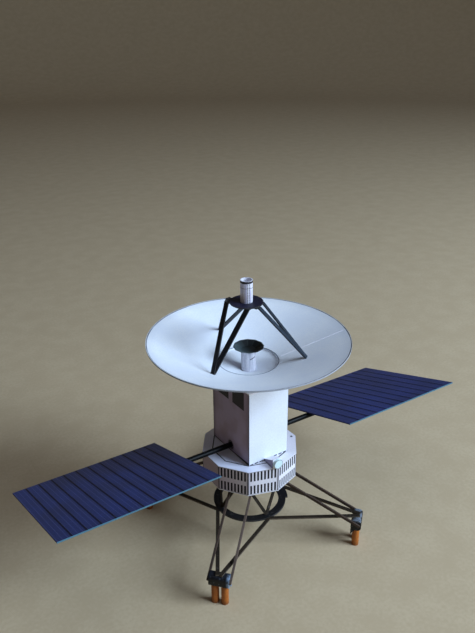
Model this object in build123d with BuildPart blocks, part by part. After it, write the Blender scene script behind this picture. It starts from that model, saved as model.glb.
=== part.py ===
from build123d import *
import os
from math import cos, radians, sin, tan

os.makedirs("parts", exist_ok=True)

# Card model of a dish-antenna spacecraft, in millimetres.
# +Z is up, the floor is z = 0, the body axis is x = y = 0.
# The panel boom lies along X; the face with the sensor looks along -Y.

# Card and paper
card = 0.5
paper = 0.3
running_gap = 0.08
strip_spare = 2.0

# Ten-sided body
body_radius = 19.9
body_sides = 10
body_turn = 18.0
body_floor_height = 29.6
body_height = 11.15
slit_width = 0.75
slit_pitch = 1.4
slit_height = 4.1
slit_count = 8
slit_depth = 0.16
slit_row_gap = 2.0
slit_faces = (36, 72, 108, 144, 216, 252, 288, 324)

# Tower box
tower_half_x = 9.15
tower_half_y = 13.1
tower_height = 32.25
grille_width = 8.2
grille_gap = 2.6
grille_height = 7.7
grille_top_margin = 1.3
grille_depth = 0.25
louvre_count = 11

# Star sensor beside the tower
sensor_x = -0.4
sensor_reach = 6.4
sensor_root_width = 3.1
sensor_root_height = 0.9
sensor_drum_diameter = 4.0
sensor_drum_length = 1.1

# Dish, in its own slightly leaning frame
dish_x = -0.3
dish_y = 0.4
dish_lean_x = 0.63
dish_lean_y = 1.07
rim_radius = 39.3
dish_depth = 9.75
dish_gap = 0.73
centre_radius = 11.75
centre_lap = 1.6
centre_tip_radius = 2.2
collar_radius = 7.0

# Feed
feed_radius = 2.9
feed_top_drop = 5.2
funnel_radius = 6.05
funnel_depth = 1.6
funnel_sides = 12

# Tripod over the dish
plate_height = 15.3
plate_radius = 6.35
plate_x = -0.67
plate_y = 0.44
tripod_width = 2.0
tripod_tab = 2.4
# columns: name, foot angle, foot radius, then angle and radius of the two folds at the plate
tripod_legs = (
    ("left", -161.7, 21.4, (138.0, 7.4), (-118.0, 5.8)),
    ("right", -46.3, 22.5, (-82.0, 6.4), (-36.0, 5.8)),
    ("back", 86.8, 22.65, (24.0, 5.7), (116.0, 8.0)),
)

# Open can on the tripod plate
can_radius = 2.35
can_height = 8.7

# Solar panels on their boom
boom_deck_gap = 2.85
boom_radius = 1.1
boom_end_margin = 8.0
panel_body_gap = 10.2
panel_length = 59.9
panel_depth = 56.2
panel_tilt = 17.1

# Leg truss
truss_turn = -3.2
ring_height = 12.9
ring_outer = 15.3
ring_inner = 12.25
ring_thickness = 0.8
ring_lap_shift = 0.9
ring_lap_angle = -21.5
ring_lap_half_angle = 12.0
brace_width = 1.3
brace_foot_radius = 13.4
brace_top_radius = 13.0
brace_half_angle = 38.0
beam_width = 1.5
beam_thickness = 0.6
beam_start_radius = 15.5
beam_end_offset = 0.52
beam_end_reach = 1.1
stay_width = 1.1
stay_thickness = 0.8
stay_foot_reach = 1.6
stay_top_radius = 11.7

# Pods and nozzles
leg_radius = 45.6
pod_width = 7.8
pod_depth = 4.2
pod_height = 4.9
pod_round = 1.5
flap_drop = 2.2
flap_lap = 0.5
flap_width = 2.0
nozzle_radius = 1.5
nozzle_bore = 0.7
nozzle_bore_sides = 8
nozzle_height = 8.4
nozzle_spacing = 3.9

# Derived heights and planes
deck_top = body_floor_height + body_height
tower_top = deck_top + tower_height
grille_base = tower_top - grille_top_margin - grille_height
boom_height = deck_top + boom_deck_gap
panel_inboard = body_radius + panel_body_gap
boom_end = panel_inboard + panel_length - boom_end_margin
ring_top = ring_height + ring_thickness
pod_top = nozzle_height + pod_height
cone_slope = dish_depth / (rim_radius - centre_radius)
cone_drop = rim_radius * cone_slope
skin = card * (1 + cone_slope**2) ** 0.5
rim_height = tower_top + dish_gap + cone_drop + 2 * skin
dish_up = Vector(-tan(radians(dish_lean_x)), -tan(radians(dish_lean_y)), 1)
dish_plane = Plane(
    origin=(dish_x, dish_y, rim_height),
    x_dir=Vector(0, 1, 0).cross(dish_up),
    z_dir=dish_up,
)
dish_section = Plane(dish_plane.origin, x_dir=dish_plane.x_dir, z_dir=-dish_plane.y_dir)
dish_axis = Axis(dish_plane.origin, dish_plane.z_dir)
tilt = radians(panel_tilt)
panel_plane = Plane(
    origin=(0, 0, boom_height),
    x_dir=(1, 0, 0),
    z_dir=(0, sin(tilt), cos(tilt)),
)
leg_angles = tuple(45 + 90 * k + truss_turn for k in range(4))
node_angles = tuple(90 * k + truss_turn for k in range(4))
leg_names = ("back_right", "back_left", "front_left", "front_right")
node_names = ("right", "back", "left", "front")


def polar(radius, angle, height=0.0):
    # point at a radius and an angle about the body axis
    return Vector(radius * cos(radians(angle)), radius * sin(radians(angle)), height)


def strip_plane(start, end, face):
    # plane across a card strip at its start, whose wide side looks along face
    run = Vector(end) - Vector(start)
    return Plane(origin=start, x_dir=run.cross(Vector(face)), z_dir=run)


def leg_plane(angle, height=0.0):
    # plane at a leg's foot: x points outwards, y around, z up
    return Plane(polar(leg_radius, angle, height), x_dir=polar(1, angle), z_dir=(0, 0, 1))


def write(piece, name):
    piece.part.label = name
    export_step(piece.part, f"parts/{name}.step")


# Ten-sided body: folded wall with two rows of slits on eight faces
wall_height = body_height - 2 * paper
face_apothem = body_radius * cos(radians(180 / body_sides))
with BuildPart() as body_wall:
    with BuildSketch(Plane.XY.offset(body_floor_height + paper)):
        RegularPolygon(body_radius, body_sides, rotation=body_turn)
        offset(amount=-card, kind=Kind.INTERSECTION, mode=Mode.SUBTRACT)
    extrude(amount=wall_height)
    row_shift = (slit_height + slit_row_gap) / 2
    for angle in slit_faces:
        face_plane = Plane(
            polar(face_apothem, angle, body_floor_height + body_height / 2),
            x_dir=polar(1, angle + 90),
            z_dir=polar(1, angle),
        )
        with BuildSketch(face_plane):
            with GridLocations(slit_pitch, 2 * row_shift, slit_count, 2):
                Rectangle(slit_width, slit_height)
        extrude(amount=-slit_depth, mode=Mode.SUBTRACT)
write(body_wall, "body_wall")

# Deck and floor of the body
with BuildPart() as body_deck:
    with BuildSketch(Plane.XY.offset(deck_top - paper)):
        RegularPolygon(body_radius, body_sides, rotation=body_turn)
    extrude(amount=paper)
write(body_deck, "body_deck")

with BuildPart() as body_floor:
    with BuildSketch(Plane.XY.offset(body_floor_height)):
        RegularPolygon(body_radius, body_sides, rotation=body_turn)
    extrude(amount=paper)
write(body_floor, "body_floor")

# Tower: folded box, open below, with a boom hole and two grille recesses in each X wall
grille_shift = (grille_width + grille_gap) / 2
grille_middle = grille_base + grille_height / 2
with BuildPart() as tower:
    with BuildSketch(Plane.XY.offset(deck_top)):
        Rectangle(2 * tower_half_x, 2 * tower_half_y)
        offset(amount=-card, kind=Kind.INTERSECTION, mode=Mode.SUBTRACT)
    extrude(amount=tower_top - card - deck_top)
    with BuildSketch(Plane.YZ.offset(-tower_half_x - card)):
        with Locations((0, boom_height)):
            Circle(boom_radius + running_gap)
    extrude(amount=2 * (tower_half_x + card), mode=Mode.SUBTRACT)
    for side in (-1, 1):
        with BuildSketch(Plane.YZ.offset(side * tower_half_x)):
            with Locations((-grille_shift, grille_middle), (grille_shift, grille_middle)):
                Rectangle(grille_width, grille_height)
        extrude(amount=-side * grille_depth, mode=Mode.SUBTRACT)
write(tower, "tower")

with BuildPart() as tower_lid:
    with BuildSketch(Plane.XY.offset(tower_top - card)):
        Rectangle(2 * tower_half_x, 2 * tower_half_y)
    extrude(amount=card)
write(tower_lid, "tower_lid")

# Grilles: louvred panels seated in the recesses, flush with the wall
louvre_pitch = grille_height / louvre_count
for side, name in ((-1, "grille_left"), (1, "grille_right")):
    back = side * (tower_half_x - grille_depth)
    front = side * tower_half_x
    neck = side * (tower_half_x - grille_depth / 2)
    profile = [(back, grille_base)]
    for k in range(louvre_count):
        foot = grille_base + k * louvre_pitch
        profile += [(front, foot), (neck, foot + louvre_pitch)]
    profile += [(back, grille_base + grille_height)]
    with BuildPart() as grille:
        for middle in (-grille_shift, grille_shift):
            with BuildSketch(Plane.XZ.offset(-middle)):
                with BuildLine():
                    Polyline(*profile, close=True)
                make_face()
            extrude(amount=grille_width / 2, both=True)
    write(grille, name)

# Star sensor: tapered box out of the tower's foot, with a round drum on its end
sensor_end = tower_half_y + sensor_reach
with BuildPart() as sensor_body:
    with BuildSketch(Plane.YZ.offset(sensor_x)):
        with BuildLine():
            Polyline(
                (-tower_half_y, deck_top),
                (-tower_half_y, deck_top + sensor_root_height),
                (-sensor_end, deck_top + sensor_drum_diameter),
                (-sensor_end, deck_top),
                close=True,
            )
        make_face()
    extrude(amount=sensor_drum_diameter / 2, both=True)
    with BuildSketch(Plane.XY.offset(deck_top)):
        with BuildLine():
            Polyline(
                (sensor_x - sensor_root_width / 2, -tower_half_y),
                (sensor_x + sensor_root_width / 2, -tower_half_y),
                (sensor_x + sensor_drum_diameter / 2, -sensor_end),
                (sensor_x - sensor_drum_diameter / 2, -sensor_end),
                close=True,
            )
        make_face()
    extrude(amount=sensor_drum_diameter, mode=Mode.INTERSECT)
write(sensor_body, "sensor_body")

with BuildPart() as sensor_drum:
    with BuildSketch(Plane.XZ.offset(sensor_end)):
        with Locations((sensor_x, deck_top + sensor_drum_diameter / 2)):
            Circle(sensor_drum_diameter / 2)
    extrude(amount=sensor_drum_length)
write(sensor_drum, "sensor_drum")

# Dish: an outer card cone, and a centre cone glued behind its inner edge
with BuildPart() as dish:
    with BuildSketch(dish_section):
        with BuildLine():
            Polyline(
                (centre_radius, -dish_depth),
                (rim_radius, 0),
                (rim_radius, -skin),
                (centre_radius, -dish_depth - skin),
                close=True,
            )
        make_face()
    revolve(axis=dish_axis)
write(dish, "dish")

lap_radius = centre_radius + centre_lap
lap_drop = (rim_radius - lap_radius) * cone_slope
tip_drop = (rim_radius - centre_tip_radius) * cone_slope
with BuildPart() as dish_centre:
    with BuildSketch(dish_section):
        with BuildLine():
            Polyline(
                (0, -tip_drop - skin),
                (centre_tip_radius, -tip_drop - skin),
                (lap_radius, -lap_drop - skin),
                (lap_radius, -lap_drop - 2 * skin),
                (centre_tip_radius, -tip_drop - 2 * skin),
                (0, -tip_drop - 2 * skin),
                close=True,
            )
        make_face()
    revolve(axis=dish_axis)
write(dish_centre, "dish_centre")


def under_cone(drop):
    # solid that fills the space below a cone surface, lowered by drop
    with BuildPart() as filler:
        with BuildSketch(dish_section):
            with BuildLine():
                Polyline(
                    (0, -cone_drop - drop),
                    (rim_radius, -drop),
                    (rim_radius, -2 * cone_drop),
                    (0, -2 * cone_drop),
                    close=True,
                )
            make_face()
        revolve(axis=dish_axis)
    return filler.part


def over_cone(drop):
    # solid that fills the space above a cone surface, lowered by drop
    with BuildPart() as filler:
        with BuildSketch(dish_section):
            with BuildLine():
                Polyline(
                    (0, -cone_drop - drop),
                    (rim_radius, -drop),
                    (rim_radius, cone_drop),
                    (0, cone_drop),
                    close=True,
                )
            make_face()
        revolve(axis=dish_axis)
    return filler.part


# Collar: short rolled ring in line with the dish, cut level where it stands on the tower lid
collar_seat = over_cone(2 * skin)
with BuildPart() as dish_collar:
    with BuildSketch(dish_plane):
        Circle(collar_radius)
        Circle(collar_radius - card, mode=Mode.SUBTRACT)
    extrude(amount=-2 * cone_drop)
    add(collar_seat, mode=Mode.SUBTRACT)
    split(bisect_by=Plane.XY.offset(tower_top), keep=Keep.TOP)
write(dish_collar, "dish_collar")

# Feed: a rolled can standing in the dish, under an open many-sided funnel
feed_seat = under_cone(skin)
with BuildPart() as feed_can:
    with BuildSketch(dish_plane.offset(-feed_top_drop)):
        Circle(feed_radius)
        Circle(feed_radius - paper, mode=Mode.SUBTRACT)
    extrude(amount=-(cone_drop - feed_top_drop))
    add(feed_seat, mode=Mode.SUBTRACT)
write(feed_can, "feed_can")


def flared_block(lift):
    # solid with flat flared sides, its foot raised by lift above the feed can
    foot = dish_plane.offset(lift - feed_top_drop)
    apothem = cos(radians(180 / funnel_sides))
    flare = (funnel_radius - feed_radius) * apothem
    with BuildPart() as block:
        with BuildSketch(foot):
            RegularPolygon(funnel_radius, funnel_sides)
        extrude(amount=funnel_depth)
        for k in range(funnel_sides):
            angle = (k + 0.5) * 360 / funnel_sides
            out = foot.from_local_coords(polar(1, angle)) - foot.origin
            side = Plane(
                foot.from_local_coords(polar(feed_radius * apothem, angle)),
                x_dir=foot.z_dir.cross(out),
                z_dir=out * funnel_depth - foot.z_dir * flare,
            )
            split(bisect_by=side, keep=Keep.BOTTOM)
    return block.part


with BuildPart() as feed_funnel:
    add(flared_block(0))
    add(flared_block(paper), mode=Mode.SUBTRACT)
write(feed_funnel, "feed_funnel")

# Tripod: three folded strips, each from a foot on the dish to two tabs glued under the plate
dish_seat = under_cone(0)
plate_under = dish_plane.offset(plate_height - card)
for name, foot_angle, foot_radius, first_top, second_top in tripod_legs:
    foot_drop = (rim_radius - foot_radius) * cone_slope
    foot = dish_plane.from_local_coords(polar(foot_radius, foot_angle, -foot_drop))
    with BuildPart() as tripod_leg:
        for top_angle, top_radius in (first_top, second_top):
            reach = Vector(plate_x, plate_y, plate_height) + polar(top_radius, top_angle)
            top = dish_plane.from_local_coords(reach)
            face = dish_plane.from_local_coords(polar(1, foot_angle)) - dish_plane.origin
            spare = (top - foot).normalized() * strip_spare
            with BuildSketch(strip_plane(foot - spare, top, face)):
                Rectangle(tripod_width, card)
            extrude(amount=(top - foot + 2 * spare).length)
            tab = Vector(plate_x, plate_y) + polar(top_radius - tripod_tab / 2, top_angle)
            with BuildSketch(plate_under):
                with Locations(Location(tab, top_angle)):
                    Rectangle(tripod_tab, tripod_width)
            extrude(amount=-card)
        add(dish_seat, mode=Mode.SUBTRACT)
        split(bisect_by=plate_under, keep=Keep.BOTTOM)
    write(tripod_leg, f"tripod_leg_{name}")

with BuildPart() as tripod_plate:
    with BuildSketch(plate_under):
        with Locations((plate_x, plate_y)):
            Circle(plate_radius)
    extrude(amount=card)
write(tripod_plate, "tripod_plate")

with BuildPart() as top_can:
    with BuildSketch(dish_plane.offset(plate_height)):
        with Locations((plate_x, plate_y)):
            Circle(can_radius)
            Circle(can_radius - paper, mode=Mode.SUBTRACT)
    extrude(amount=can_height)
write(top_can, "top_can")

# Panel boom: one rolled tube through both walls of the tower
with BuildPart() as boom:
    with BuildSketch(Plane.YZ.offset(-boom_end)):
        with Locations((0, boom_height)):
            Circle(boom_radius)
            Circle(boom_radius - card, mode=Mode.SUBTRACT)
    extrude(amount=2 * boom_end)
write(boom, "boom")

# Panels: flat cards lying on the boom
for side, name in ((-1, "panel_left"), (1, "panel_right")):
    with BuildPart() as panel:
        with BuildSketch(panel_plane.offset(boom_radius)):
            with Locations((side * (panel_inboard + panel_length / 2), 0)):
                Rectangle(panel_length, panel_depth)
        extrude(amount=card)
    write(panel, name)

# Ring of the leg truss: a card ring, with the short piece that closes it set a little outwards
with BuildPart() as ring:
    with BuildSketch(Plane.XY.offset(ring_height)):
        Circle(ring_outer)
        Circle(ring_inner, mode=Mode.SUBTRACT)
    extrude(amount=ring_thickness)
    with BuildSketch(Plane.XY.offset(ring_height)):
        with Locations(polar(ring_lap_shift, ring_lap_angle)):
            Circle(ring_outer)
            Circle(ring_inner, mode=Mode.SUBTRACT)
        with BuildLine():
            Polyline(
                (0, 0),
                polar(2 * ring_outer, ring_lap_angle - ring_lap_half_angle),
                polar(2 * ring_outer, ring_lap_angle + ring_lap_half_angle),
                close=True,
            )
        make_face(mode=Mode.INTERSECT)
    extrude(amount=ring_thickness)
write(ring, "ring")

# Braces: a folded V of card from each place on the ring up to the body floor
for name, angle in zip(node_names, node_angles):
    foot = polar(brace_foot_radius, angle, ring_top)
    with BuildPart() as brace:
        for spread in (-brace_half_angle, brace_half_angle):
            top = polar(brace_top_radius, angle + spread, body_floor_height)
            spare = (top - foot).normalized() * strip_spare
            with BuildSketch(strip_plane(foot - spare, top, polar(1, angle))):
                Rectangle(brace_width, card)
            extrude(amount=(top - foot + 2 * spare).length)
        split(bisect_by=Plane.XY.offset(ring_top), keep=Keep.TOP)
        split(bisect_by=Plane.XY.offset(body_floor_height), keep=Keep.BOTTOM)
    write(brace, f"brace_{name}")

# Pods: folded boxes with a rounded top and a pointed flap at one end, on two rolled nozzles
stay_shift = pod_width / 2 + stay_thickness / 2
for name, angle in zip(leg_names, leg_angles):
    base = leg_plane(angle)
    flap_side = 1 if name in ("front_left", "back_right") else -1
    across = Plane(base.origin, x_dir=base.x_dir, z_dir=-base.y_dir)
    with BuildPart() as pod:
        with BuildSketch(across):
            with Locations((0, nozzle_height + pod_height / 2)):
                Rectangle(pod_depth, pod_height)
            top_corners = vertices().group_by(Axis.Z)[-1]
            fillet(top_corners, pod_round)
        extrude(amount=pod_width / 2, both=True)
        with BuildSketch(across.offset(-flap_side * pod_width / 2)):
            with BuildLine():
                Polyline(
                    (-pod_depth / 2, nozzle_height + flap_lap),
                    (-pod_depth / 2, nozzle_height - flap_drop),
                    (flap_width - pod_depth / 2, nozzle_height + flap_lap),
                    close=True,
                )
            make_face()
        extrude(amount=flap_side * paper)
    write(pod, f"pod_{name}")

    with BuildPart() as nozzles:
        with BuildSketch(base):
            with GridLocations(1, nozzle_spacing, 1, 2):
                Circle(nozzle_radius)
                RegularPolygon(nozzle_bore, nozzle_bore_sides, mode=Mode.SUBTRACT)
        extrude(amount=nozzle_height)
    write(nozzles, f"nozzles_{name}")

    # Beams: strips from the ring's edge to the pod's top, mitred where two of them meet
    for hand, side in (("a", -1), ("b", 1)):
        node = angle + 45 * side
        start = polar(beam_start_radius, node, ring_height + ring_thickness / 2)
        end_plane = leg_plane(angle, pod_top + beam_thickness / 2)
        end = end_plane.from_local_coords((beam_end_reach, side * beam_end_offset, 0))
        spare = (end - start).normalized() * strip_spare
        with BuildPart() as beam:
            with BuildSketch(strip_plane(start - spare, end, (0, 0, 1))):
                Rectangle(beam_width, beam_thickness)
            extrude(amount=(end - start + spare).length)
            split(bisect_by=Plane((0, 0, 0), x_dir=(0, 0, 1), z_dir=polar(side, node - 90)))
            split(bisect_by=Plane((0, 0, 0), x_dir=(0, 0, 1), z_dir=polar(side, angle + 90)))
            add(ring.part, mode=Mode.SUBTRACT)
            add(pod.part, mode=Mode.SUBTRACT)
        write(beam, f"beam_{name}_{hand}")

        # Stay: a folded strip from the pod's end up to the body floor
        foot = leg_plane(angle, nozzle_height + pod_height / 2)
        low = foot.from_local_coords((stay_foot_reach, side * stay_shift, 0))
        high = foot.from_local_coords(
            (stay_top_radius - leg_radius, side * stay_shift, body_floor_height - foot.origin.Z)
        )
        with BuildPart() as stay:
            with BuildSketch(strip_plane(low, high, foot.y_dir)):
                Rectangle(stay_width, stay_thickness)
            extrude(amount=(high - low).length + strip_spare)
            split(bisect_by=Plane.XY.offset(body_floor_height), keep=Keep.BOTTOM)
        write(stay, f"stay_{name}_{hand}")
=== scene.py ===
import math

import bmesh
import bpy
from mathutils import Matrix, Vector
from mathutils.bvhtree import BVHTree


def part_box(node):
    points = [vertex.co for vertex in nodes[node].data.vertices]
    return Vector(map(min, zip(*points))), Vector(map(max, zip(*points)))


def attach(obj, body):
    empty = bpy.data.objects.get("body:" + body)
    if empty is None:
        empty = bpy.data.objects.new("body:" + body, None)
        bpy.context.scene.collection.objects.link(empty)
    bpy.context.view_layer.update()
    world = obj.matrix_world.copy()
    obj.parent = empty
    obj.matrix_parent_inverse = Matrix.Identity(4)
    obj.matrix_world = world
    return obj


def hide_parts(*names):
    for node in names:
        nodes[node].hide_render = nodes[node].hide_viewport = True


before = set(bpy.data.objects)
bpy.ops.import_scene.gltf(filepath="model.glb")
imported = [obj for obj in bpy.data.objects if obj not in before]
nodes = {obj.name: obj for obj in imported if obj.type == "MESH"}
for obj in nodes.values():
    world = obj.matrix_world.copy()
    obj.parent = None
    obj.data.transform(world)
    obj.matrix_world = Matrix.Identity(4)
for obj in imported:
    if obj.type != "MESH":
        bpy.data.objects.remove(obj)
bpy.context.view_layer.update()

mm = 0.001
fullTurn = 2 * math.pi
skyward = Vector((0, 0, 1))
asMade = Matrix.Identity(4)
facingLimit = {"rough": 0.8, "square": 0.9}  # least cosine between a face's normal and a direction
print("frame loaded:", len(nodes), "nodes")


# Small helpers

def hexColour(text):
    # sRGB hex to linear RGBA
    parts = [int(text[i:i + 2], 16) / 255 for i in (0, 2, 4)]
    return [p / 12.92 if p <= 0.04045 else ((p + 0.055) / 1.055) ** 2.4 for p in parts] + [1.0]


def liveOutput(node):
    return next(socket for socket in node.outputs if socket.enabled)


def addNode(tree, kind, inputs=None, **settings):
    # adds a node; an input is a value, a hex colour, a socket, or a node, which gives its first live output
    node = tree.nodes.new(kind)
    for name, value in settings.items():
        setattr(node, name, value)
    for key, value in (inputs or {}).items():
        if isinstance(value, bpy.types.Node):
            value = liveOutput(value)
        if isinstance(value, bpy.types.NodeSocket):
            tree.links.new(value, node.inputs[key])
        else:
            node.inputs[key].default_value = hexColour(value) if isinstance(value, str) else value
    return node


def cornersOf(name):
    return [vertex.co for vertex in nodes[name].data.vertices]


def flatFace(name, look):
    # centre and normal of a node's largest flat face that looks roughly along a direction
    found = {}
    for polygon in nodes[name].data.polygons:
        if polygon.normal.dot(look) > facingLimit["rough"]:
            key = tuple(round(v, 2) for v in polygon.normal)
            found.setdefault(key, []).append(polygon)
    faces = max(found.values(), key=lambda group: sum(p.area for p in group))
    area = sum(p.area for p in faces)
    centre = sum((p.center * p.area for p in faces), Vector()) / area
    normal = sum((p.normal * p.area for p in faces), Vector()).normalized()
    return centre, normal


# Places read from the frame: the dish's lean and rim, and the tilt of the panels
rimBand = 0.05 * mm  # corners this near the dish's top are on its rim
dishUp = flatFace("tripod_plate", skyward)[1]
dishTurn = skyward.rotation_difference(dishUp)
dishCorners = [dishTurn.inverted() @ co for co in cornersOf("dish")]
rimHeight = max(co.z for co in dishCorners)
rimCorners = [co for co in dishCorners if co.z > rimHeight - rimBand]
rimX, rimY = ((min(co[k] for co in rimCorners), max(co[k] for co in rimCorners)) for k in (0, 1))
rimLevel = Vector((sum(rimX) / 2, sum(rimY) / 2, rimHeight))
rimCentre = dishTurn @ rimLevel
rimRadius = (rimX[1] - rimX[0]) / 2
innerRadius = min((co - rimLevel).xy.length for co in dishCorners)
panelUp = flatFace("panel_left", skyward)[1]
panelTilt = math.atan2(panelUp.y, panelUp.z)
print("dish rim at", [round(v / mm, 2) for v in rimCentre], "radius", round(rimRadius / mm, 2))


# Materials: a look holds what a user would change, with its sizes in mm and its ground as two mixed colours.
# Paper grain is about 0.1 mm in truth; it is drawn at 0.5 mm or more, because finer doesn't show.

paper = {"ior": 1.48, "specular": 0.5, "tone": 14.0, "toneBetween": (0.12, 0.42), "bump": 0.5}
card = {"roughness": 0.52, "fibre": 0.55, "depth": 0.012}
softStep = {"interpolation_type": "SMOOTHSTEP"}


def startPaper(name, look):
    # paper or card whose fibres mix the two ground colours and lift the surface by a depth
    look = {**paper, **look}
    material = bpy.data.materials.new(name)
    material.use_nodes = True
    tree = material.node_tree
    tree.nodes.clear()
    place = addNode(tree, "ShaderNodeTexCoord").outputs["Object"]
    fine = addNode(tree, "ShaderNodeTexNoise", {"Vector": place, "Scale": 1 / (look["fibre"] * mm), "Detail": 3.0})
    tone = addNode(tree, "ShaderNodeTexNoise", {"Vector": place, "Scale": 1 / (look["tone"] * mm), "Detail": 2.0})
    both = addNode(tree, "ShaderNodeMath", {0: fine, 1: tone}, operation="MULTIPLY")
    span = addNode(tree, "ShaderNodeMapRange", {0: both, 1: look["toneBetween"][0], 2: look["toneBetween"][1]},
                   **softStep)
    ground = addNode(tree, "ShaderNodeMix", {0: span, 6: look["ground"][1], 7: look["ground"][0]}, data_type="RGBA")
    bump = addNode(tree, "ShaderNodeBump", {"Strength": look["bump"], "Distance": look["depth"] * mm, "Height": fine})
    shader = addNode(tree, "ShaderNodeBsdfPrincipled", {"Roughness": look["roughness"], "IOR": look["ior"],
                                                        "Specular IOR Level": look["specular"], "Normal": bump})
    addNode(tree, "ShaderNodeOutputMaterial", {"Surface": shader})
    return material, tree, place, ground


def printOver(material, ground, layers=()):
    # lays inks over a ground, each by its own mask, and gives the finished material
    tree = material.node_tree
    colour = ground
    for mask, ink in layers:
        colour = addNode(tree, "ShaderNodeMix", {0: mask, 6: colour, 7: ink}, data_type="RGBA")
    shader = next(node for node in tree.nodes if node.type == "BSDF_PRINCIPLED")
    tree.links.new(liveOutput(colour), shader.inputs["Base Color"])
    return material


def plainPaper(name, look):
    material, tree, place, ground = startPaper(name, look)
    return printOver(material, ground)


def patches(tree, place, shape, **settings):
    # noise patches; shape is (size in mm, detail, noise level from, to, value from, to)
    noise = addNode(tree, "ShaderNodeTexNoise", {"Vector": place, "Scale": 1 / (shape[0] * mm), "Detail": shape[1]})
    return addNode(tree, "ShaderNodeMapRange", {0: noise, 1: shape[2], 2: shape[3], 3: shape[4], 4: shape[5]},
                   **settings)


def inDishFrame(tree, place):
    # Object coordinates moved to the rim's centre, with Z along the dish's axis
    level = dishTurn.to_matrix().to_4x4().inverted()
    return addNode(tree, "ShaderNodeMapping", {"Vector": place, "Location": -(level @ rimCentre),
                                               "Rotation": level.to_euler("XYZ")}, vector_type="POINT")


def fromAxis(tree, here):
    # distance from the Z axis
    flat = addNode(tree, "ShaderNodeVectorMath", {0: here, 1: (1, 1, 0)}, operation="MULTIPLY")
    return addNode(tree, "ShaderNodeVectorMath", {0: flat}, operation="LENGTH")


def towerCard():
    # white card whose X faces take a mauve tint, painted shade for the side away from the key light, and a soft
    # printed mauve-brown cloud, darker to the folds and the foot, with a painted shadow round the boom's hole
    look = {**card, "ground": ("ECF1FC", "E2E6F2"), "skin": 0.05, "shadeTint": 0.8, "shadeTintInk": "AC96BC",
            "cloud": (7.0, 1.0, 0.4, 0.62, 0.0, 0.3), "cloudInk": "8C7078", "shade": 2.6, "shadeMost": 0.45,
            "fold": 0.3, "base": 0.45, "foot": (0.3, 1.2), "boomShadow": (1.4, 2.6), "boomShadowMost": 0.95, "lineInk": "1E1B22"}
    low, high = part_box("tower")
    boomLow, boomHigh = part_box("boom")
    hole = (boomLow + boomHigh) / 2
    material, tree, place, ground = startPaper("towerCard", look)
    x, y, z = addNode(tree, "ShaderNodeSeparateXYZ", {0: place}).outputs
    side = addNode(tree, "ShaderNodeMath", {0: x}, operation="ABSOLUTE")
    onSide = addNode(tree, "ShaderNodeMath", {0: side, 1: high.x - look["skin"] * mm}, operation="GREATER_THAN")
    across = addNode(tree, "ShaderNodeMath", {0: y}, operation="ABSOLUTE")
    shade = addNode(tree, "ShaderNodeMapRange", {0: across, 1: high.y - look["shade"] * mm, 2: high.y,
                                                 3: 0.0, 4: look["shadeMost"]}, **softStep)
    fold = addNode(tree, "ShaderNodeMath", {0: across, 1: high.y - look["fold"] * mm}, operation="GREATER_THAN")
    base = addNode(tree, "ShaderNodeMath", {0: z, 1: low.z + look["base"] * mm}, operation="LESS_THAN")
    # painted shadow: dark round the hole where the boom enters the wall
    beside = addNode(tree, "ShaderNodeCombineXYZ", {1: y, 2: z})
    away = addNode(tree, "ShaderNodeVectorMath", {0: beside, 1: (0, hole.y, hole.z)}, operation="DISTANCE")
    boomShadow = addNode(tree, "ShaderNodeMapRange", {0: away, 1: look["boomShadow"][0] * mm, 2: look["boomShadow"][1] * mm,
                                                3: look["boomShadowMost"], 4: 0.0}, **softStep)
    # a dark line along the foot, widening towards the -Y corner: the joint with the deck, with painted shade in the
    # crease
    thickness = addNode(tree, "ShaderNodeMapRange", {0: y, 1: hole.y, 2: low.y, 3: look["foot"][0] * mm,
                                                     4: look["foot"][1] * mm})
    height = addNode(tree, "ShaderNodeMath", {0: z, 1: low.z}, operation="SUBTRACT")
    foot = addNode(tree, "ShaderNodeMath", {0: height, 1: thickness}, operation="LESS_THAN")
    lines = shade
    for mask in (fold, base, boomShadow, foot):
        lines = addNode(tree, "ShaderNodeMath", {0: lines, 1: mask}, operation="MAXIMUM")
    cloud = patches(tree, place, look["cloud"], **softStep)
    layers = []
    # the tint is painted shade: the mauve of the side away from the key light
    for mask, ink in ((look["shadeTint"], "shadeTintInk"), (cloud, "cloudInk"), (lines, "lineInk")):
        layers.append((addNode(tree, "ShaderNodeMath", {0: mask, 1: onSide}, operation="MULTIPLY"), look[ink]))
    return printOver(material, ground, layers)


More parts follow.
